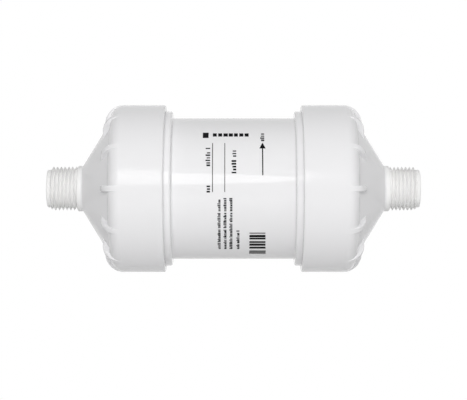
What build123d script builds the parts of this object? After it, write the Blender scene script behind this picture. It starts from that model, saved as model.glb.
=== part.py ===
from build123d import *
import math
import os

# Sizes in millimetres
# X runs with the flow, from inlet to outlet. Z is up. The origin is the middle of the filter.

# Barrel of the body, between its two collars
barrel_od = 67.5
barrel_wall = 3.5
barrel_length = 58.0

# Collars at the ends of the body, which the end caps are welded over
collar_rise = 3.25
collar_wall = 4.0
collar_lip = 3.3
collar_setback = 2.0
collar_edge_round = 0.9
collar_root_round = 0.6
weld_clearance = 0.1

# Skirt and shoulder of an end cap
skirt_wall = 2.9
skirt_length = 20.0
skirt_edge_round = 0.8
skirt_mouth_chamfer = 0.5
shoulder_round = 5.8
shoulder_face = 0.9

# Cone of an end cap, which falls from the shoulder to the nipple
cone_angle = 58.2
cap_wall = 3.2

# Stiffening ribs on an end cap
rib_count = 12
rib_width = 2.8
rib_reach = 3.35
rib_round = 9.0
rib_edge_round = 0.5
rib_run_in = 1.2

# Threaded nipple, a half inch pipe thread
thread_od = 20.955
thread_length = 13.0
thread_lead_chamfer = 0.9
nipple_root_rise = 0.4225
nipple_root_length = 2.3
nipple_root_round = 1.0
pilot_drop = 1.4775
pilot_length = 1.75
pilot_edge_round = 0.6
nipple_wall = 2.0
bore_mouth_chamfer = 0.5

# Socket inside an end cap, which takes the end of the filter element
socket_step = 2.2
socket_wall = 2.4
socket_depth = 11.5
socket_seat_setback = 2.9
socket_mouth_chamfer = 0.5

# End plates of the filter element
flow_gap = 2.65
plate_thickness = 3.0
plate_lip_length = 5.0
plate_lip_wall = 1.3
plate_to_socket_gap = 6.0
plate_edge_round = 0.8
locating_ring_length = 3.0
locating_ring_wall = 1.5
fit_clearance = 0.1

# Spigot of the outlet end plate, with its seals
spigot_clearance = 0.15
spigot_end_play = 0.5
spigot_wall = 2.75
spigot_end_chamfer = 0.8
groove_depth = 1.45
groove_width = 2.6
groove_pitch = 4.4
groove_inset = 2.0
seal_width = 2.3
seal_round = 0.7

# Fluted peg of the closed end plate, which the inlet water flows past
vane_count = 4
vane_thickness = 2.0
gusset_reach = 10.0
gusset_clearance = 1.0

# Perforated core and cage of the filter element
core_bore = 20.0
core_wall = 1.8
core_window_rows = 7
core_window_count = 4
core_window_width = 6.0
core_window_length = 9.0
cage_wall = 1.0
cage_window_rows = 6
cage_window_count = 8
cage_window_width = 14.0
cage_window_length = 12.0

# Pleated filter media, three webs folded together
pleat_count = 32
pleat_fold_width = 1.2
web_thickness = 0.3
media_clearance = 0.25

# Places along the axis, worked out from the sizes
collar_start = barrel_length / 2
skirt_edge = collar_start + collar_lip
shoulder_start = skirt_edge + skirt_length
weld_land = shoulder_start - collar_setback
shoulder_end = shoulder_start + shoulder_round

# Radii of the body and of the skirt
barrel_outer = barrel_od / 2
barrel_inner = barrel_outer - barrel_wall
collar_outer = barrel_outer + collar_rise
collar_inner = collar_outer - collar_wall
skirt_inner = collar_outer + weld_clearance
skirt_outer = skirt_inner + skirt_wall
cone_top = skirt_outer - shoulder_round - shoulder_face
cone_slope = math.tan(math.radians(cone_angle))

# Places and radii of the nipple
thread_outer = thread_od / 2
nipple_root = thread_outer + nipple_root_rise
pilot_outer = thread_outer - pilot_drop
bore_radius = pilot_outer - nipple_wall
nipple_start = shoulder_end + (cone_top - nipple_root) / cone_slope
thread_start = nipple_start + nipple_root_length
thread_end = thread_start + thread_length
nipple_end = thread_end + pilot_length

# Places and radii of the socket and of the filter element
socket_radius = bore_radius + socket_step
socket_outer = socket_radius + socket_wall
socket_seat = nipple_start - socket_seat_setback
socket_mouth = socket_seat - socket_depth
plate_face = socket_mouth - plate_to_socket_gap
plate_inside = plate_face - plate_thickness
lip_edge = plate_inside - plate_lip_length
lip_outer = barrel_inner - flow_gap
lip_inner = lip_outer - plate_lip_wall
cage_outer = lip_inner - fit_clearance
cage_inner = cage_outer - cage_wall
core_inner = core_bore / 2
core_outer = core_inner + core_wall
spigot_outer = socket_radius - spigot_clearance
spigot_inner = spigot_outer - spigot_wall
spigot_end = socket_seat - spigot_end_play
ring_outer = core_inner - fit_clearance
ring_inner = ring_outer - locating_ring_wall
element_length = 2 * plate_inside


def outside_cone(radius):
    """Place along the axis where the outside of the cone has this radius."""
    return nipple_start - (radius - nipple_root) / cone_slope


def inside_cone(radius):
    """Place along the axis where the inside of the cone has this radius."""
    return outside_cone(radius) - cap_wall / math.sin(math.radians(cone_angle))


def section(points):
    """Flat face in the XZ plane, from (place along the axis, radius) corners."""
    return make_face(Polyline([(x, 0, r) for x, r in points], close=True))


def rounded(face, x, r, radius):
    """The face with its corner at that place rounded."""
    corner = face.vertices().sort_by_distance((x, 0, r))[0]
    return fillet(corner, radius)


def turned(face):
    """Solid made by turning a section about the X axis."""
    return revolve(face, Axis.X)


def around(shape, count):
    """Copies of a shape, evenly spaced about the X axis."""
    return [shape.rotate(Axis.X, i * 360 / count) for i in range(count)]


def body_shell():
    """Barrel with a thicker collar at each end, bored to a near even wall."""
    step_inside = collar_start + barrel_wall
    step_run = collar_inner - barrel_inner
    half = [
        (collar_start, barrel_outer),
        (collar_start, collar_outer),
        (weld_land, collar_outer),
        (weld_land, collar_inner),
        (step_inside + step_run, collar_inner),
        (step_inside, barrel_inner),
    ]
    face = section(half + [(-x, r) for x, r in reversed(half)])
    for side in (-1, 1):
        face = rounded(face, side * collar_start, collar_outer, collar_edge_round)
        face = rounded(face, side * collar_start, barrel_outer, collar_root_round)
    return turned(face)


def cap_outside():
    """Solid outside form of an end cap, without its ribs."""
    face = section([
        (skirt_edge, 0),
        (skirt_edge, skirt_outer),
        (shoulder_end, skirt_outer),
        (shoulder_end, cone_top),
        (nipple_start, nipple_root),
        (thread_start, nipple_root),
        (thread_start, thread_outer),
        (thread_end - thread_lead_chamfer, thread_outer),
        (thread_end, thread_outer - thread_lead_chamfer),
        (thread_end, pilot_outer),
        (nipple_end, pilot_outer),
        (nipple_end, 0),
    ])
    face = rounded(face, shoulder_end, skirt_outer, shoulder_round)
    face = rounded(face, skirt_edge, skirt_outer, skirt_edge_round)
    face = rounded(face, nipple_start, nipple_root, nipple_root_round)
    face = rounded(face, nipple_end, pilot_outer, pilot_edge_round)
    return turned(face)


def cap_inside():
    """Hollow of an end cap: skirt, cone chamber, socket and nipple bore."""
    return turned(section([
        (skirt_edge - 1, 0),
        (skirt_edge - 1, skirt_inner + skirt_mouth_chamfer),
        (skirt_edge, skirt_inner + skirt_mouth_chamfer),
        (skirt_edge + skirt_mouth_chamfer, skirt_inner),
        (weld_land, skirt_inner),
        (weld_land, collar_inner),
        (inside_cone(collar_inner), collar_inner),
        (inside_cone(socket_outer), socket_outer),
        (socket_mouth, socket_outer),
        (socket_mouth, socket_radius + socket_mouth_chamfer),
        (socket_mouth + socket_mouth_chamfer, socket_radius),
        (socket_seat, socket_radius),
        (socket_seat, bore_radius),
        (nipple_end - bore_mouth_chamfer, bore_radius),
        (nipple_end, bore_radius + bore_mouth_chamfer),
        (nipple_end + 1, bore_radius + bore_mouth_chamfer),
        (nipple_end + 1, 0),
    ]))


def cap_rib():
    """Upright rib: a web that stands on the cone and runs over the shoulder into the skirt."""
    face_x = shoulder_end + rib_reach
    knee_r = skirt_outer - rib_round
    foot = cone_top - rib_reach * cone_slope - rib_run_in
    start_x = face_x - rib_round
    bulge = rib_round * math.sqrt(0.5)
    crest = ThreePointArc(
        (face_x, 0, knee_r), (start_x + bulge, 0, knee_r + bulge), (start_x, 0, skirt_outer)
    )
    rest = Polyline([(x, 0, r) for x, r in [
        (start_x, skirt_outer),
        (start_x - rib_run_in, skirt_outer - rib_run_in),
        (start_x - rib_run_in, cone_top),
        (inside_cone(cone_top) + cap_wall / 2, cone_top),
        (inside_cone(foot) + cap_wall / 2, foot),
        (face_x, foot),
        (face_x, knee_r),
    ]])
    web = extrude(make_face(rest.edges() + [crest]), amount=rib_width / 2, both=True)
    side = rib_width / 2
    edges = web.edges().filter_by(lambda e: abs(abs(e.center().Y) - side) < 1e-6)
    crest_edges = edges.filter_by(
        lambda e: e.geom_type == GeomType.CIRCLE or abs(e.center().X - face_x) < 1e-6
    )
    return fillet(crest_edges, rib_edge_round)


def end_cap():
    """End cap as moulded, in one piece with its ribs, nipple and socket."""
    return cap_outside() + around(cap_rib(), rib_count) - cap_inside()


def windows(row_count, count, width, length, radius, covered):
    """Cutters for the windows of a tube, in rows along what the end plates leave uncovered."""
    pitch = (element_length - 2 * covered) / row_count
    cutter = Box(length, width, 2 * radius, align=(Align.CENTER, Align.CENTER, Align.MIN))
    first = -(row_count - 1) / 2 * pitch
    row = around(cutter, count)
    return [c.translate((first + i * pitch, 0, 0)) for i in range(row_count) for c in row]


def tube(inner, outer, length):
    """Plain tube about the X axis, centred on the origin."""
    half = length / 2
    return turned(section([(-half, inner), (-half, outer), (half, outer), (half, inner)]))


def element_core():
    """Perforated tube that the folded media rest on."""
    cutters = windows(
        core_window_rows, core_window_count, core_window_width, core_window_length,
        core_outer, locating_ring_length
    )
    return tube(core_inner, core_outer, element_length) - cutters


def element_cage():
    """Thin perforated tube round the folded media."""
    cutters = windows(
        cage_window_rows, cage_window_count, cage_window_width, cage_window_length,
        cage_outer, plate_lip_length
    )
    return tube(cage_inner, cage_outer, element_length) - cutters


def fold_outline(offset):
    """Closed outline of the folds, moved outward from the middle web's mid line."""
    reach = 1.5 * web_thickness
    inner = core_outer + media_clearance + reach + offset
    outer = cage_inner - media_clearance - reach + offset
    inner_half = pleat_fold_width / 2 - offset
    outer_half = pleat_fold_width / 2 + offset
    points = []
    for i in range(pleat_count):
        angle = i * 360 / pleat_count
        for half, radius, turn in ((outer_half, outer, 0), (inner_half, inner, 180 / pleat_count)):
            points += [Vector(0, y, radius).rotate(Axis.X, angle - turn) for y in (half, -half)]
    return make_face(Polyline(points, close=True))


def folded_web(layer):
    """One web of the media, folded with the others. Layer 1 is outermost and -1 innermost."""
    outside = fold_outline((layer + 0.5) * web_thickness)
    inside = fold_outline((layer - 0.5) * web_thickness)
    ring = outside - inside
    return extrude(ring, amount=element_length / 2, dir=(1, 0, 0), both=True)


def end_plate(points):
    """Plate on the end of the element, with its lip and the ring that holds the core."""
    face = section(points + [
        (plate_face, lip_outer),
        (lip_edge, lip_outer),
        (lip_edge, lip_inner),
        (plate_inside, lip_inner),
        (plate_inside, ring_outer),
        (plate_inside - locating_ring_length, ring_outer),
        (plate_inside - locating_ring_length, ring_inner),
        (plate_inside, ring_inner),
    ])
    return turned(rounded(face, plate_face, lip_outer, plate_edge_round))


def seal_places():
    """Places along the axis of the middles of the two seal grooves."""
    outer = spigot_end - groove_inset - groove_width / 2
    return [outer - groove_pitch, outer]


def outlet_end_plate():
    """End plate with the spigot that leads the clean water out."""
    face = end_plate([
        (plate_inside, spigot_inner),
        (spigot_end, spigot_inner),
        (spigot_end, spigot_outer - spigot_end_chamfer),
        (spigot_end - spigot_end_chamfer, spigot_outer),
        (plate_face, spigot_outer),
    ])
    for x in seal_places():
        floor = spigot_outer - groove_depth
        face -= tube(floor, spigot_outer + 1, groove_width).translate((x, 0, 0))
    return face


def closed_end_plate():
    """End plate that closes the core, with a fluted peg to centre the element."""
    peg = turned(section([
        (plate_inside, 0),
        (plate_inside, spigot_outer),
        (plate_face, spigot_outer + gusset_reach),
        (plate_face + plate_to_socket_gap - gusset_clearance, spigot_outer),
        (spigot_end - spigot_end_chamfer, spigot_outer),
        (spigot_end, spigot_outer - spigot_end_chamfer),
        (spigot_end, 0),
    ]))
    vane = Box(spigot_end, vane_thickness, barrel_inner, align=(Align.MIN, Align.CENTER, Align.MIN))
    vanes = Part() + around(vane, vane_count)
    plate = end_plate([(plate_inside, 0), (plate_face, 0)])
    return plate + (peg & vanes)


def spigot_seals():
    """The two rings, in the flattened form they take between groove and socket."""
    floor = spigot_outer - groove_depth
    rings = []
    for x in seal_places():
        flat = RectangleRounded(seal_width, socket_radius - floor, seal_round)
        place = Plane.XZ * Pos(x, (socket_radius + floor) / 2)
        rings.append(turned(place * flat))
    return Compound(children=rings)


outlet_end_cap = end_cap()
parts = {
    "body_shell": body_shell(),
    "inlet_end_cap": outlet_end_cap.rotate(Axis.Z, 180),
    "outlet_end_cap": outlet_end_cap,
    "closed_end_plate": closed_end_plate().rotate(Axis.Z, 180),
    "outlet_end_plate": outlet_end_plate(),
    "spigot_seals": spigot_seals(),
    "element_core": element_core(),
    "element_cage": element_cage(),
    "outer_support_web": folded_web(1),
    "filter_web": folded_web(0),
    "inner_support_web": folded_web(-1),
}

os.makedirs("parts", exist_ok=True)
for name, shape in parts.items():
    export_step(shape, f"parts/{name}.step")
    size = shape.bounding_box().size
    print(name, len(shape.solids()), len(shape.faces()), round(shape.volume), size)
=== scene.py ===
# %% [markdown]
# # An in-line antibacterial filter
#
# The filter is a white moulded body with a ribbed, conical end cap welded over each end, and a
# threaded nipple on each cap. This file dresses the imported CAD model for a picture. It gives the
# caps their threads and soft moulded edges, prints the body, sets the finishes and lights them.
#
# The frame is loaded first, because every piece below is made in the same frame, in metres.

# %% Load the frame
import math

import bpy
import numpy as np
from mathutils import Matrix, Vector


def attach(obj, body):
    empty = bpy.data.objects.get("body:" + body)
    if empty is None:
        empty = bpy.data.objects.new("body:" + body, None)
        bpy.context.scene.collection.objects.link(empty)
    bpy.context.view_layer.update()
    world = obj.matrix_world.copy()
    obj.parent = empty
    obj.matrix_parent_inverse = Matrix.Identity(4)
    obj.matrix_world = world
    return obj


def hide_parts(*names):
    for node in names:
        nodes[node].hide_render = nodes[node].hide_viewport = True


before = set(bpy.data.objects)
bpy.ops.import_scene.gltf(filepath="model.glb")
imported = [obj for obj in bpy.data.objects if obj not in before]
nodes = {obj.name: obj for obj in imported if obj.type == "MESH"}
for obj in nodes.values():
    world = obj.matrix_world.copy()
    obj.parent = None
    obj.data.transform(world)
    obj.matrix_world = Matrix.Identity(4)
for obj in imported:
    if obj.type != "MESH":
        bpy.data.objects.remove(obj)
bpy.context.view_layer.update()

# %% [markdown]
# ## Sizes that the pieces share
#
# The sizes are the CAD model's own, in millimetres, so that what is made here lies exactly on it.
# X runs along the filter, and a radius is measured from that axis.

# %% Sizes
MM = 0.001
BARREL_R = 33.75
COLLAR_INNER, WELD_LAND = 33.0, 50.3
SKIRT_EDGE, SKIRT_R, SKIRT_INNER = 32.3, 40.0, 37.1
SKIRT_ROUND, SKIRT_CHAMFER = 0.8, 0.5
SHOULDER_START, SHOULDER_END, SHOULDER_ROUND, CONE_TOP = 52.3, 58.1, 5.8, 33.3
CONE_ANGLE, CAP_WALL = math.radians(58.2), 3.2
ROOT_R, THREAD_R, PILOT_R, BORE_R = 10.9, 10.4775, 9.0, 7.0
LEAD_CHAMFER = 0.9
NIPPLE_START = SHOULDER_END + (CONE_TOP - ROOT_R) / math.tan(CONE_ANGLE)
THREAD_START = NIPPLE_START + 2.3
THREAD_END = THREAD_START + 13.0
NIPPLE_END = THREAD_END + 1.75
SOCKET_SEAT, SOCKET_R, SOCKET_OUTER = NIPPLE_START - 2.9, 9.2, 11.6
SOCKET_MOUTH = SOCKET_SEAT - 11.5
print("nipple from", round(NIPPLE_START, 2), "to", round(NIPPLE_END, 2), "mm")

# %% [markdown]
# ## A profile with rounded corners
#
# A moulded part has no sharp edge: each corner of its profile is an arc. A profile is given as
# corners with a rounding each, and comes back as points that are close together on the arcs and
# evenly spaced on the straight runs.

# %% Rounded profile
def rounded_path(corners, spacing, arc_steps=7):
    """Points along an open path of (x, radius, rounding) corners. At a corner with rounding q,
    the arc's ends lie q / tan(half the angle between the two sides) from the corner, and its
    centre lies q / sin(half angle) along their bisector."""
    corners = np.array(corners, float)
    runs = [corners[0, None, :2]]
    for before, (x, r, q), after in zip(corners, corners[1:], corners[2:]):
        here = np.array([x, r])
        if q <= 0:
            runs.append(here[None])
            continue
        back = (before[:2] - here) / np.linalg.norm(before[:2] - here)
        ahead = (after[:2] - here) / np.linalg.norm(after[:2] - here)
        half = math.acos(np.clip(back @ ahead, -1, 1)) / 2
        centre = here + (back + ahead) / np.linalg.norm(back + ahead) * q / math.sin(half)
        spoke = here + back * q / math.tan(half) - centre
        side = np.sign(back[1] * ahead[0] - back[0] * ahead[1])
        turn = np.linspace(0, math.pi - 2 * half, arc_steps) * side
        runs.append(centre + np.stack([spoke[0] * np.cos(turn) - spoke[1] * np.sin(turn),
                                       spoke[0] * np.sin(turn) + spoke[1] * np.cos(turn)], 1))
    runs.append(corners[-1, None, :2])
    path = [runs[0]]
    for run in runs[1:]:
        gap = np.linalg.norm(run[0] - path[-1][-1])
        between = np.linspace(0, 1, max(int(np.ceil(gap / spacing)), 1) + 1)[1:-1, None]
        path += [path[-1][-1] * (1 - between) + run[0] * between, run]
    return np.concatenate([run for run in path if len(run)])


def spread_out(path, count):
    """The same path with that many points, evenly spaced along its length."""
    reach = np.concatenate([[0], np.cumsum(np.linalg.norm(np.diff(path, axis=0), axis=1))])
    at = np.linspace(0, reach[-1], count)
    return np.stack([np.interp(at, reach, path[:, k]) for k in (0, 1)], 1)


print("a rounded corner takes", len(rounded_path([(0, 0, 0), (9, 0, 4), (9, 9, 0)], 2)), "points")

# %% [markdown]
# ## A mesh from a grid of points
#
# Both caps are one closed skin: a profile that returns to its start, carried round the axis. A
# grid that joins up in both directions is exactly that, with no pole and no open seam. The
# printed marks below are small closed grids of the same kind.

# %% Grid to mesh
def ring_quads(rows, columns):
    """Corners of the quads of a grid whose rows and columns both close on themselves."""
    row, column = np.arange(rows)[:, None], np.arange(columns)[None, :]
    below, right = (row + 1) % rows, (column + 1) % columns
    return np.stack([row * columns + column, row * columns + right,
                     below * columns + right, below * columns + column], -1).reshape(-1, 4)


def enclosed_volume(points, quads):
    """Signed volume inside a closed skin: a sixth of the triple product of each triangle,
    which is positive where the faces point outward."""
    a, b, c, d = (points[quads[:, k]] for k in range(4))
    return np.sum(np.cross(a, b) * c + np.cross(a, c) * d) / 6


def make_piece(name, points, quads, crease=50.0):
    """A smooth-shaded object at the origin, from points in millimetres and closed quads."""
    if enclosed_volume(points, quads) < 0:
        quads = quads[:, ::-1]
    mesh = bpy.data.meshes.new(name)
    mesh.vertices.add(len(points))
    mesh.vertices.foreach_set("co", (points * MM).astype(np.float32).ravel())
    mesh.loops.add(quads.size)
    mesh.loops.foreach_set("vertex_index", quads.ravel().astype(np.int32))
    mesh.polygons.add(len(quads))
    mesh.polygons.foreach_set("loop_start", np.arange(0, quads.size, 4, dtype=np.int32))
    mesh.update(calc_edges=True)
    mesh.validate()
    mesh.polygons.foreach_set("use_smooth", np.ones(len(quads), bool))
    mesh.set_sharp_from_angle(angle=math.radians(crease))
    piece = bpy.data.objects.new(name, mesh)
    bpy.context.scene.collection.objects.link(piece)
    print(name, "has", len(quads) * 2, "triangles")
    return piece


# %% [markdown]
# ## The profile of an end cap
#
# The profile is walked once round the wall. It starts inside the skirt, runs over the shoulder,
# down the cone and along the nipple, and comes back through the bore and the hollow. The rows
# that carry the ribs are kept apart, because there the skin leaves the plain profile.

# %% Places on the cone
def outside_cone(radius):
    """Place along the axis where the outside of the cone has this radius."""
    return NIPPLE_START - (radius - ROOT_R) / math.tan(CONE_ANGLE)


def inside_cone(radius):
    """The same for the inside of the cone, one wall thickness in."""
    return outside_cone(radius) - CAP_WALL / math.sin(CONE_ANGLE)


RIB_REACH, RIB_ROUND, RIB_RUN_IN = 3.35, 9.0, 0.1
RIB_FACE = SHOULDER_END + RIB_REACH
RIB_FOOT = CONE_TOP - RIB_REACH * math.tan(CONE_ANGLE) - 0.6
RIB_START = SHOULDER_START - RIB_RUN_IN
print("a rib ends on the cone at radius", round(RIB_FOOT, 2), "mm")

# %% Rows from the skirt to the cone
RIB_ROWS = 60
skirt_rows = rounded_path([
    (WELD_LAND, SKIRT_INNER, 0), (SKIRT_EDGE + SKIRT_CHAMFER, SKIRT_INNER, 0),
    (SKIRT_EDGE, SKIRT_INNER + SKIRT_CHAMFER, 0.1), (SKIRT_EDGE, SKIRT_R, SKIRT_ROUND),
    (RIB_START, SKIRT_R, 0)], 2.5)
plain_rows = spread_out(rounded_path([
    (RIB_START, SKIRT_R, 0), (SHOULDER_END, SKIRT_R, SHOULDER_ROUND),
    (SHOULDER_END, CONE_TOP, 0.2), (outside_cone(RIB_FOOT), RIB_FOOT, 0)], 0.1, 40), RIB_ROWS)
crest_rows = spread_out(rounded_path([
    (RIB_START, SKIRT_R, 0), (RIB_FACE, SKIRT_R, RIB_ROUND), (RIB_FACE, RIB_FOOT + 1.0, 0.5),
    (outside_cone(RIB_FOOT), RIB_FOOT, 0)], 0.1, 40), RIB_ROWS)
print(len(skirt_rows), "skirt rows and", RIB_ROWS, "rib rows")

# %% Rows of the nipple and of the hollow
PITCH = 25.4 / 14
ROWS_PER_PITCH = 14
cone_rows = rounded_path([
    (outside_cone(RIB_FOOT), RIB_FOOT, 0), (NIPPLE_START, ROOT_R, 0.7),
    (THREAD_START, ROOT_R, 0.3), (THREAD_START, THREAD_R, 0)], 1.6)[1:]
thread_x = np.arange(THREAD_START + 0.05, THREAD_END - 0.02, PITCH / ROWS_PER_PITCH)
thread_rows = np.stack([thread_x, np.full_like(thread_x, THREAD_R)], 1)
tip_rows = rounded_path([
    (THREAD_END, PILOT_R, 0), (NIPPLE_END, PILOT_R, 0.6), (NIPPLE_END, BORE_R, 0.5),
    (SOCKET_SEAT, BORE_R, 0), (SOCKET_SEAT, SOCKET_R, 0),
    (SOCKET_MOUTH, SOCKET_R, 0.4), (SOCKET_MOUTH, SOCKET_OUTER, 0.4),
    (inside_cone(SOCKET_OUTER), SOCKET_OUTER, 1.0), (inside_cone(COLLAR_INNER), COLLAR_INNER, 2.0),
    (WELD_LAND, COLLAR_INNER, 0)], 3.0)
profile = np.concatenate([skirt_rows, plain_rows[1:], cone_rows, thread_rows, tip_rows])
first_rib = len(skirt_rows)
first_thread = first_rib + RIB_ROWS - 1 + len(cone_rows)
rib_top = profile.copy()
rib_top[first_rib:first_rib + RIB_ROWS - 1] = crest_rows[1:]
print(len(profile), "rows in the closed profile")

# %% [markdown]
# ## Ribs and thread
#
# Twelve ribs stiffen each cap. Across a rib, the skin rises as a bar with steep sides and soft
# edges, and along it each row moves from the plain profile out to the rib's crest line.
#
# The thread is a half inch pipe form. It is cut by lowering the nipple's wall in a helix, which
# keeps the grid regular: a separate helix would have to be joined to the nipple.

# %% Rib section
RIB_COUNT, RIB_HALF = 12, 1.4
SECTOR = 2 * math.pi / RIB_COUNT


def rib_section(steps=12, squareness=5.0):
    """Across a rib: (offset, height) pairs on a superellipse, where the offset and the height,
    each raised to the squareness, add up to one. A low fillet runs out at each foot."""
    t = np.linspace(-math.pi / 2, math.pi / 2, steps * 2 + 1)
    offset = RIB_HALF * np.sign(np.sin(t)) * np.abs(np.sin(t)) ** (2 / squareness)
    height = np.abs(np.cos(t)) ** (2 / squareness)
    height[[0, -1]] = 0.06
    flare = RIB_HALF + np.array([0.06, 0.2])
    offset = np.concatenate([-flare[::-1], offset, flare])
    return offset, np.concatenate([[0, 0.015], height, [0.015, 0]])


rib_offset, rib_height = rib_section()
print(len(rib_offset), "columns across a rib")

# %% Thread form
THREAD_DEPTH, THREAD_FADE = 1.7, 0.7


def onto_thread_lines(x, turn):
    """Rows run straight round the nipple, but crests and roots are helices. Where a row passes
    within half a row's spacing of a crest or root line, it is moved onto that line, so that the
    mesh has its edges exactly there."""
    phase = x / PITCH - turn / (2 * math.pi)
    miss = (np.round(2 * phase) / 2 - phase) * PITCH
    return np.where(np.abs(miss) <= PITCH / ROWS_PER_PITCH / 2, x + miss, x)


def thread_radius(x, turn):
    """Radius of the thread at a place along the axis and an angle round it. The groove is a V,
    repeated in x plus one pitch for each turn. It fades in from the collar, and the lead
    chamfer cuts it at 45 degrees near the tip."""
    phase = (x / PITCH - turn / (2 * math.pi)) % 1.0
    fade = np.clip((x - THREAD_START) / THREAD_FADE, 0, 1)
    cut = THREAD_R - THREAD_DEPTH * np.abs(2 * phase - 1) * fade * fade * (3 - 2 * fade)
    return np.minimum(cut, THREAD_R - LEAD_CHAMFER + THREAD_END - x)


sample = thread_radius(thread_x, np.zeros_like(thread_x))
print("thread radius from", sample.min().round(2), "to", sample.max().round(2), "mm")

# %% [markdown]
# ## The skin of a cap
#
# Twelve sectors are alike, so one sector is worked out and repeated. The columns on a rib keep
# their distance from its middle plane, which gives it parallel sides, and the others share out
# the arc up to the next rib.

# %% Cap skin
def cap_points(side):
    """Grid of a whole cap. A column on a rib has the turn arcsin(offset / radius), and its
    radius and place move from the plain profile to the crest by the rib's height there."""
    lift = rib_top - profile
    x = profile[:, :1] + rib_height * lift[:, :1]
    radius = profile[:, 1:] + rib_height * lift[:, 1:]
    turn = np.arcsin(rib_offset / radius)
    share = np.linspace(0, 1, 12)[1:-1]
    between = turn[:, -1:] + share * (SECTOR - 2 * turn[:, -1:])
    turn = np.concatenate([turn, between], 1)
    x = np.concatenate([x, np.repeat(profile[:, :1], len(share), 1)], 1)
    radius = np.concatenate([radius, np.repeat(profile[:, 1:], len(share), 1)], 1)
    turn = np.concatenate([turn + k * SECTOR for k in range(RIB_COUNT)], 1)
    x, radius = np.tile(x, RIB_COUNT), np.tile(radius, RIB_COUNT)
    rows = slice(first_thread, first_thread + len(thread_rows))
    x[rows] = onto_thread_lines(x[rows], turn[rows])
    radius[rows] = thread_radius(x[rows], turn[rows])
    return np.stack([x, radius * np.sin(turn), radius * np.cos(turn)], -1) * (side, side, 1)


caps = {}
for node, side in (("outlet_end_cap", 1), ("inlet_end_cap", -1)):
    grid = cap_points(side)
    piece = make_piece(node.replace("end_cap", "cap_skin"), grid.reshape(-1, 3),
                       ring_quads(*grid.shape[:2]))
    caps[node] = piece
    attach(piece, "root")
    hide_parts(node)

# %% [markdown]
# ## Print on the barrel
#
# The barrel is pad printed in black and grey. The print is laid out here as plain fields: a
# heading bar, two rules, a flow arrow, a block of bars, and short strokes where small text would
# be. Each field is a very thin closed slab that is wrapped on the barrel, so that it also shows
# in the exported mesh. A field is (start along the axis, end, low arc, high arc), where arcs run
# up the front of the barrel from its middle.

# %% Slabs of ink
INK_UNDER, INK_OVER = 0.05, 0.05
ARC_STEP = 1.2


def wrapped_slab(start, end, low, high, taper=0.0):
    """Points and quads of a thin closed slab on the barrel's front. A point at arc length s has
    the angle s / radius up from the front. Each row is the slab's section as four corners, and
    the taper narrows the rows towards the high end, for an arrow's head."""
    rows = max(int(math.ceil((high - low) / ARC_STEP)), 1) + 1
    share = np.linspace(0, 1, rows)[:, None]
    angle = (low + (high - low) * share) / BARREL_R
    radius = BARREL_R + np.array([-INK_UNDER, -INK_UNDER, INK_OVER, INK_OVER])
    x = (start + end) / 2 + (end - start) / 2 * (1 - taper * share) * np.array([-1, 1, 1, -1])
    points = np.stack([x, -np.cos(angle) * radius, np.sin(angle) * radius], -1).reshape(-1, 3)
    last = (rows - 1) * 4
    ends = np.array([[3, 2, 1, 0], [last, last + 1, last + 2, last + 3]])
    quads = np.concatenate([ring_quads(rows, 4)[:last], ends])
    return points, quads if enclosed_volume(points, quads) > 0 else quads[:, ::-1]


def print_piece(name, fields):
    """One object that holds every field of one ink."""
    slabs = [wrapped_slab(*field) for field in fields]
    firsts = np.cumsum([0] + [len(points) for points, _ in slabs[:-1]])
    piece = make_piece(name, np.concatenate([points for points, _ in slabs]),
                       np.concatenate([quads + first for (_, quads), first in
                                       zip(slabs, firsts)]), 30)
    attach(piece, "root")
    return piece


print("a slab 10 mm high has", len(wrapped_slab(0, 1, 0, 10)[0]), "points")

# %% [markdown]
# ## Lines of small text, without letters
#
# At this size a line of text reads as a row of short strokes. Each line is set as words of
# strokes, with seeded widths, so that it comes out the same every time.

# %% Stroke lines
def strokes_up(start, end, low, high, words, seed, stroke=0.56, gap=0.26):
    """Fields for a line of text that runs up the barrel. Strokes follow each other along the
    arc, and differ in how much of the line's height they fill. A wider gap parts the words."""
    pick = np.random.default_rng(seed)
    fields, at, count = [], low, 0
    word = pick.integers(*words)
    while at + stroke < high:
        reach = (end - start) * pick.choice([0.68, 0.75, 0.8, 1.0])
        fields.append((end - reach, end, at, at + stroke * pick.uniform(0.8, 1.25)))
        at += stroke + gap
        count += 1
        if count == word:
            at += 2 * gap
            count, word = 0, pick.integers(*words)
    return fields


def blocks_along(start, end, low, high, count, seed):
    """Fields for a heading that runs along the barrel, as blocks of one height."""
    pick = np.random.default_rng(seed)
    at = np.linspace(start, end, count + 1)[:-1]
    width = (end - start) / count * pick.uniform(0.72, 0.86, count)
    return [(a, a + w, low, high) for a, w in zip(at, width)]


# %% Black print
black_fields = [(-14.3, -11.6, 26.1, 29.8)]
black_fields += blocks_along(-9.6, 7.6, 27.05, 29.3, 7, 3)
black_fields += [
    (13.2, 13.72, 6.2, 20.0), (12.0, 14.9, 19.7, 23.0, 0.97),
    (7.4, 14.85, -24.75, -23.3), (7.4, 14.9, -26.2, -25.1),
    (7.4, 14.95, -30.75, -29.2), (7.4, 15.0, -33.15, -31.6),
]
black_fields += strokes_up(-12.9, -10.8, 10.5, 21.1, (5, 7), 7, 0.68, 0.6)
black_fields += strokes_up(-12.9, -10.8, -1.8, 2.8, (2, 4), 8, 0.62, 0.6)
black_fields += strokes_up(-0.9, 1.25, 7.1, 19.1, (5, 7), 9, 0.75, 0.62)
for line, start in enumerate((-7.4, -4.65, -1.9)):
    black_fields += strokes_up(start, start + 1.4, -33.5, -4.1, (6, 11), 11 + line)
black_fields += strokes_up(1.35, 2.75, -33.5, -20.2, (3, 6), 15)
black_ink = print_piece("print_black", black_fields)

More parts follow.
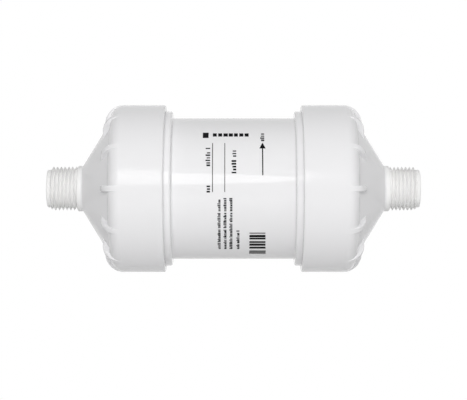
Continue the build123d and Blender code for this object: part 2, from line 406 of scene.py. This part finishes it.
# %% Grey print
grey_fields = [
    (-9.88, -9.5, -1.6, 22.8), (-4.2, -3.85, -1.6, 22.8),
    (7.4, 14.8, -22.5, -21.95), (7.4, 14.9, -28.7, -27.35), (7.4, 15.1, -38.6, -35.0),
]
grey_fields += strokes_up(12.4, 14.3, 24.0, 30.2, (4, 5), 5, 0.95, 0.5)
grey_ink = print_piece("print_grey", grey_fields)

# %% [markdown]
# ## Finishes as node groups
#
# Several materials share an effect, such as the faint unevenness of moulded plastic. Each such
# effect is one node group with named inputs, built once and placed with its own values. The
# groups put out colours, roughness and heights, and the shader stays in each material.

# %% Group helpers
def place(tree, kind, values=None, **settings):
    """A new node, with its settings and the values of its inputs, by name or number."""
    node = tree.nodes.new(kind)
    for name, value in settings.items():
        setattr(node, name, value)
    for name, value in (values or {}).items():
        node.inputs[name].default_value = value
    return node


def new_group(name, takes, gives):
    """A shader node group with (name, socket type, value) inputs and (name, type) outputs."""
    group = bpy.data.node_groups.new(name, "ShaderNodeTree")
    for label, kind, value in takes:
        socket = group.interface.new_socket(label, in_out="INPUT", socket_type=kind)
        socket.default_value = value
    for label, kind in gives:
        group.interface.new_socket(label, in_out="OUTPUT", socket_type=kind)
    return group, group.nodes.new("NodeGroupInput"), group.nodes.new("NodeGroupOutput")


FLOAT, COLOUR = "NodeSocketFloat", "NodeSocketColor"

# %% [markdown]
# ## Moulded plastic
#
# White moulded plastic looks even, but its colour clouds a little where the melt flowed, and its
# gloss changes with the polish of the mould. Slow noise gives the clouding, and quick noise the
# fine unevenness of the surface. Both read Object coordinates, so they hold still on the piece.

# %% Moulded surface group
moulded_surface, takes, gives = new_group("moulded_surface", [
    ("Colour", COLOUR, (0.86, 0.86, 0.87, 1)), ("Clouding", FLOAT, 0.02),
    ("Roughness", FLOAT, 0.12), ("Polish change", FLOAT, 0.05), ("Grain fineness", FLOAT, 900.0)],
    [("Colour", COLOUR), ("Roughness", FLOAT), ("Height", FLOAT)])
links = moulded_surface.links
spot = place(moulded_surface, "ShaderNodeTexCoord")
clouds = place(moulded_surface, "ShaderNodeTexNoise", {"Scale": 38.0, "Detail": 3.0})
grain = place(moulded_surface, "ShaderNodeTexNoise", {"Detail": 2.0})
centred = place(moulded_surface, "ShaderNodeMath", {1: 0.5}, operation="SUBTRACT")
tint = place(moulded_surface, "ShaderNodeMath", {2: 1.0}, operation="MULTIPLY_ADD")
dyed = place(moulded_surface, "ShaderNodeVectorMath", operation="SCALE")
polish = place(moulded_surface, "ShaderNodeMath", operation="MULTIPLY_ADD")
links.new(spot.outputs["Object"], clouds.inputs["Vector"])
links.new(spot.outputs["Object"], grain.inputs["Vector"])
links.new(takes.outputs["Grain fineness"], grain.inputs["Scale"])
links.new(clouds.outputs["Fac"], centred.inputs[0])
links.new(centred.outputs[0], tint.inputs[0])
links.new(takes.outputs["Clouding"], tint.inputs[1])
links.new(takes.outputs["Colour"], dyed.inputs[0])
links.new(tint.outputs[0], dyed.inputs["Scale"])
links.new(dyed.outputs[0], gives.inputs["Colour"])
links.new(centred.outputs[0], polish.inputs[0])
links.new(takes.outputs["Polish change"], polish.inputs[1])
links.new(takes.outputs["Roughness"], polish.inputs[2])
links.new(polish.outputs[0], gives.inputs["Roughness"])
links.new(grain.outputs["Fac"], gives.inputs["Height"])
print(moulded_surface.name, "has", len(moulded_surface.nodes), "nodes")

# %% [markdown]
# ## Non-woven web
#
# The folded webs are felted fibres. Noise that is stretched one way looks like fibres that lie
# that way, and two such layers, crossed, look like a felt. The brighter of the two wins at each
# point, because the upper fibre hides the lower.

# %% Felt group
felted_fibres, takes, gives = new_group("felted_fibres", [
    ("Fibre", COLOUR, (0.9, 0.9, 0.88, 1)), ("Gap", COLOUR, (0.7, 0.7, 0.68, 1)),
    ("Fineness", FLOAT, 600.0)], [("Colour", COLOUR), ("Height", FLOAT)])
links = felted_fibres.links
spot = place(felted_fibres, "ShaderNodeTexCoord")
over = place(felted_fibres, "ShaderNodeMath", operation="MAXIMUM")
blend = place(felted_fibres, "ShaderNodeMix", data_type="RGBA")
for layer, (stretch, turn) in enumerate((((1.0, 0.12, 0.2), 0.6), ((0.15, 1.0, 1.0), -0.7))):
    lay = place(felted_fibres, "ShaderNodeMapping", {"Scale": stretch, "Rotation": (turn, 0, turn)})
    fibre = place(felted_fibres, "ShaderNodeTexNoise", {"Detail": 4.0, "Roughness": 0.7})
    links.new(spot.outputs["Object"], lay.inputs["Vector"])
    links.new(lay.outputs[0], fibre.inputs["Vector"])
    links.new(takes.outputs["Fineness"], fibre.inputs["Scale"])
    links.new(fibre.outputs["Fac"], over.inputs[layer])
links.new(over.outputs[0], blend.inputs["Factor"])
links.new(takes.outputs["Gap"], blend.inputs[6])
links.new(takes.outputs["Fibre"], blend.inputs[7])
links.new(blend.outputs[2], gives.inputs["Colour"])
links.new(over.outputs[0], gives.inputs["Height"])
print(felted_fibres.name, "has", len(felted_fibres.nodes), "nodes")

# %% [markdown]
# ## Materials
#
# Each material places a group, sets its values, and feeds the shader. A bump node turns the
# group's height into a slight unevenness of the surface. What is the same all over, such as the
# index of refraction, is set on the shader itself.

# %% Material helpers
def new_material(name):
    """An empty node material, with its tree and its Principled shader."""
    material = bpy.data.materials.new(name)
    material.use_nodes = True
    return material, material.node_tree, material.node_tree.nodes["Principled BSDF"]


def use_group(tree, group, values):
    """Place a group in a material, with its own values."""
    node = place(tree, "ShaderNodeGroup", node_tree=group)
    for name, value in values.items():
        node.inputs[name].default_value = value
    return node


def add_bump(tree, shader, height, depth):
    """Feed a height to the shader's normal. The depth is the height's reach in metres."""
    bump = place(tree, "ShaderNodeBump", {"Distance": depth})
    tree.links.new(height, bump.inputs["Height"])
    tree.links.new(bump.outputs[0], shader.inputs["Normal"])


def plastic(name, colour, roughness, clouding=0.015, polish=0.03, fineness=900.0, depth=4e-6,
            index=1.49):
    """A moulded plastic: the moulded surface group, with the plastic's index of refraction."""
    material, tree, shader = new_material(name)
    surface = use_group(tree, moulded_surface, {
        "Colour": (*colour, 1), "Clouding": clouding, "Roughness": roughness,
        "Polish change": polish, "Grain fineness": fineness})
    shader.inputs["IOR"].default_value = index
    tree.links.new(surface.outputs["Colour"], shader.inputs["Base Color"])
    tree.links.new(surface.outputs["Roughness"], shader.inputs["Roughness"])
    add_bump(tree, shader, surface.outputs["Height"], depth)
    return material


def felt(name, fibre, gap, fineness):
    """A felted web: the fibre group over a dull shader."""
    material, tree, shader = new_material(name)
    fibres = use_group(tree, felted_fibres, {
        "Fibre": (*fibre, 1), "Gap": (*gap, 1), "Fineness": fineness})
    shader.inputs["Roughness"].default_value = 0.85
    tree.links.new(fibres.outputs["Colour"], shader.inputs["Base Color"])
    add_bump(tree, shader, fibres.outputs["Height"], 6e-5)
    return material


# %% [markdown]
# ## White body and caps
#
# Body and caps are the same white plastic. The extruded body is very glossy, and the moulded caps
# are a little softer. The nipple comes from a blasted part of the mould, so it is duller and a
# shade warmer. A mask tells it from the cone: X in Object coordinates, made positive, and stepped
# softly where the nipple begins.

# %% White plastics
WHITE, NIPPLE_WHITE = (0.862, 0.859, 0.869), (0.915, 0.913, 0.906)
body_white = plastic("body_white_plastic", WHITE, 0.05, index=1.54)
cap_white = plastic("cap_white_plastic", WHITE, 0.14, index=1.47)
tree = cap_white.node_tree
shader = tree.nodes["Principled BSDF"]
surface = next(node for node in tree.nodes if node.type == "GROUP")
spot = place(tree, "ShaderNodeTexCoord")
split = place(tree, "ShaderNodeSeparateXYZ")
apart = place(tree, "ShaderNodeMath", operation="ABSOLUTE")
mask = place(tree, "ShaderNodeMapRange", {1: (NIPPLE_START + 0.1) * MM, 2: (NIPPLE_START + 1.1) * MM})
dull = place(tree, "ShaderNodeMix", {3: 0.45})
warm = place(tree, "ShaderNodeMix", {7: (*NIPPLE_WHITE, 1)}, data_type="RGBA")
tree.links.new(spot.outputs["Object"], split.inputs[0])
tree.links.new(split.outputs["X"], apart.inputs[0])
tree.links.new(apart.outputs[0], mask.inputs[0])
tree.links.new(mask.outputs[0], dull.inputs["Factor"])
tree.links.new(surface.outputs["Roughness"], dull.inputs[2])
tree.links.new(dull.outputs[0], shader.inputs["Roughness"])
tree.links.new(mask.outputs[0], warm.inputs["Factor"])
tree.links.new(surface.outputs["Colour"], warm.inputs[6])
tree.links.new(warm.outputs[2], shader.inputs["Base Color"])
print("white plastics:", body_white.name, "and", cap_white.name)

# %% [markdown]
# ## Ink, rubber and the parts inside
#
# The inside of the filter isn't seen in the picture, but each inner piece gets its own finish.
# The element is natural plastic, the seals are black rubber, and the webs are felted fibres.

# %% Other finishes
black_print = plastic("black_ink", (0.006, 0.006, 0.007), 0.5, 0.3, 0.1, 2500.0, 2e-6)
black_print.node_tree.nodes["Principled BSDF"].inputs["Specular IOR Level"].default_value = 0.05
grey_print = plastic("grey_ink", (0.05, 0.05, 0.052), 0.06, 0.3, 0.02, 2500.0, 2e-6)
element_plastic = plastic("natural_plastic", (0.78, 0.79, 0.77), 0.38, 0.05, 0.08, 700.0, 8e-6)
seal_rubber = plastic("seal_rubber", (0.03, 0.03, 0.032), 0.45, 0.2, 0.15, 1500.0, 1e-5)
support_web = felt("support_web_felt", (0.88, 0.88, 0.86), (0.62, 0.62, 0.60), 420.0)
filter_web = felt("filter_web_felt", (0.92, 0.92, 0.90), (0.80, 0.80, 0.78), 1400.0)

# %% Give each piece its finish
finishes = {
    body_white: ["body_shell"],
    element_plastic: ["closed_end_plate", "outlet_end_plate", "element_core", "element_cage"],
    seal_rubber: ["spigot_seals"],
    support_web: ["outer_support_web", "inner_support_web"],
    filter_web: ["filter_web"],
}
for material, names in finishes.items():
    for slot in (slot for name in names for slot in nodes[name].material_slots):
        slot.material = material
for piece in caps.values():
    piece.data.materials.append(cap_white)
black_ink.data.materials.append(black_print)
grey_ink.data.materials.append(grey_print)
print(len(bpy.data.materials), "materials")

# %% [markdown]
# ## Floor and backdrop
#
# The picture has a plain white ground. The floor lies well below the part, so that it takes the
# part's shadow without showing in the front view. The world is white where the camera or a
# reflection looks at it, and dimmer where it lights the part, which keeps the shading.

# %% Floor
FLOOR_Z, FLOOR_R = -0.25, 1.05
turn = np.linspace(0, 2 * math.pi, 97)[:-1]
rim = np.stack([FLOOR_R * np.cos(turn), FLOOR_R * np.sin(turn), np.full_like(turn, FLOOR_Z)], 1)
floor_mesh = bpy.data.meshes.new("floor")
floor_mesh.from_pydata(rim.tolist(), [], [list(range(len(rim)))])
floor = bpy.data.objects.new("floor", floor_mesh)
bpy.context.scene.collection.objects.link(floor)
floor_paint = plastic("floor_paint", (0.88, 0.88, 0.88), 0.8, 0.02, 0.05, 60.0, 1e-5)
floor_mesh.materials.append(floor_paint)
print("floor", round(FLOOR_R * 2, 2), "m across, at", FLOOR_Z, "m")

# %% Floor seen paler than it lights
FLOOR_GLOW = 0.4
tree = floor_paint.node_tree
shader = tree.nodes["Principled BSDF"]
ray = place(tree, "ShaderNodeLightPath")
seen = place(tree, "ShaderNodeMath", operation="MAXIMUM")
glow = place(tree, "ShaderNodeMath", {1: FLOOR_GLOW}, operation="MULTIPLY")
shader.inputs["Emission Color"].default_value = (1, 1, 1, 1)
tree.links.new(ray.outputs["Is Camera Ray"], seen.inputs[0])
tree.links.new(ray.outputs["Is Glossy Ray"], seen.inputs[1])
tree.links.new(seen.outputs[0], glow.inputs[0])
tree.links.new(glow.outputs[0], shader.inputs["Emission Strength"])

# %% World
AMBIENT = 0.24
world = bpy.data.worlds.new("studio")
bpy.context.scene.world = world
world.use_nodes = True
tree = world.node_tree
tree.nodes.clear()
ray = place(tree, "ShaderNodeLightPath")
direct = place(tree, "ShaderNodeMath", operation="MAXIMUM")
seen = place(tree, "ShaderNodeMath", operation="MAXIMUM")
ambient = place(tree, "ShaderNodeBackground", {"Color": (1, 1, 1, 1), "Strength": AMBIENT})
backdrop = place(tree, "ShaderNodeBackground", {"Color": (1, 1, 1, 1), "Strength": 1.0})
choose = place(tree, "ShaderNodeMixShader")
tree.links.new(ray.outputs["Is Camera Ray"], direct.inputs[0])
tree.links.new(ray.outputs["Is Glossy Ray"], direct.inputs[1])
tree.links.new(direct.outputs[0], seen.inputs[0])
tree.links.new(ray.outputs["Is Transmission Ray"], seen.inputs[1])
tree.links.new(seen.outputs[0], choose.inputs[0])
tree.links.new(ambient.outputs[0], choose.inputs[1])
tree.links.new(backdrop.outputs[0], choose.inputs[2])
tree.links.new(choose.outputs[0], place(tree, "ShaderNodeOutputWorld").inputs[0])
print("ambient strength", AMBIENT)

# %% [markdown]
# ## Lamps
#
# Broad soft boxes in front shape the round body: bright along the middle and darker towards its
# upper and lower edges. A narrow strip box just above the camera draws the long bright line.

# %% Soft boxes
def soft_box(name, at, size, power, aim=(0, 0, 0)):
    """A rectangular area lamp at a place in metres, turned to face a point."""
    data = bpy.data.lights.new(name, "AREA")
    data.shape = "RECTANGLE"
    data.size, data.size_y = size
    data.energy = power
    box = bpy.data.objects.new(name, data)
    box.location = at
    box.rotation_euler = (Vector(aim) - Vector(at)).to_track_quat("-Z", "Y").to_euler()
    bpy.context.scene.collection.objects.link(box)
    return box


# LAMPS BEGIN
front_box = soft_box("front_box", (0.0, -1.6, 0.45), (1.2, 0.3), 13.5)
top_box = soft_box("top_box", (0.0, -0.2, 1.4), (1.4, 0.8), 1.9)
right_box = soft_box("right_box", (1.3, -0.9, 0.3), (0.8, 0.8), 1.7)
back_box = soft_box("back_box", (0.0, 1.6, 0.0), (1.6, 0.5), 9.0)
for box in (front_box, top_box, right_box, back_box):
    box.visible_glossy = False
strip_box = soft_box("strip_box", (-0.16, -0.77, 0.215), (0.46, 0.30), 0.77)
strip_box.data.shape = "ELLIPSE"
# LAMPS END

# %% [markdown]
# ## Camera
#
# The photograph looks square on at the middle of the part, from about 0.8 m: the rims of the
# skirts bend outward by as much as that distance gives. The lens fits the part's length.

# %% Camera
camera_data = bpy.data.cameras.new("camera")
camera = bpy.data.objects.new("camera", camera_data)
bpy.context.scene.collection.objects.link(camera)
bpy.context.scene.camera = camera
camera.location = (0.0, -0.8, 0.0)
camera.rotation_euler = (math.radians(90), 0, 0)
camera_data.sensor_width = 36.0
camera_data.lens = 128.5
camera_data.shift_y = -0.0244
camera_data.clip_start = 0.01
bpy.context.scene.view_settings.view_transform = "Standard"
print("camera", round(-camera.location.y, 2), "m in front, lens", camera_data.lens, "mm")
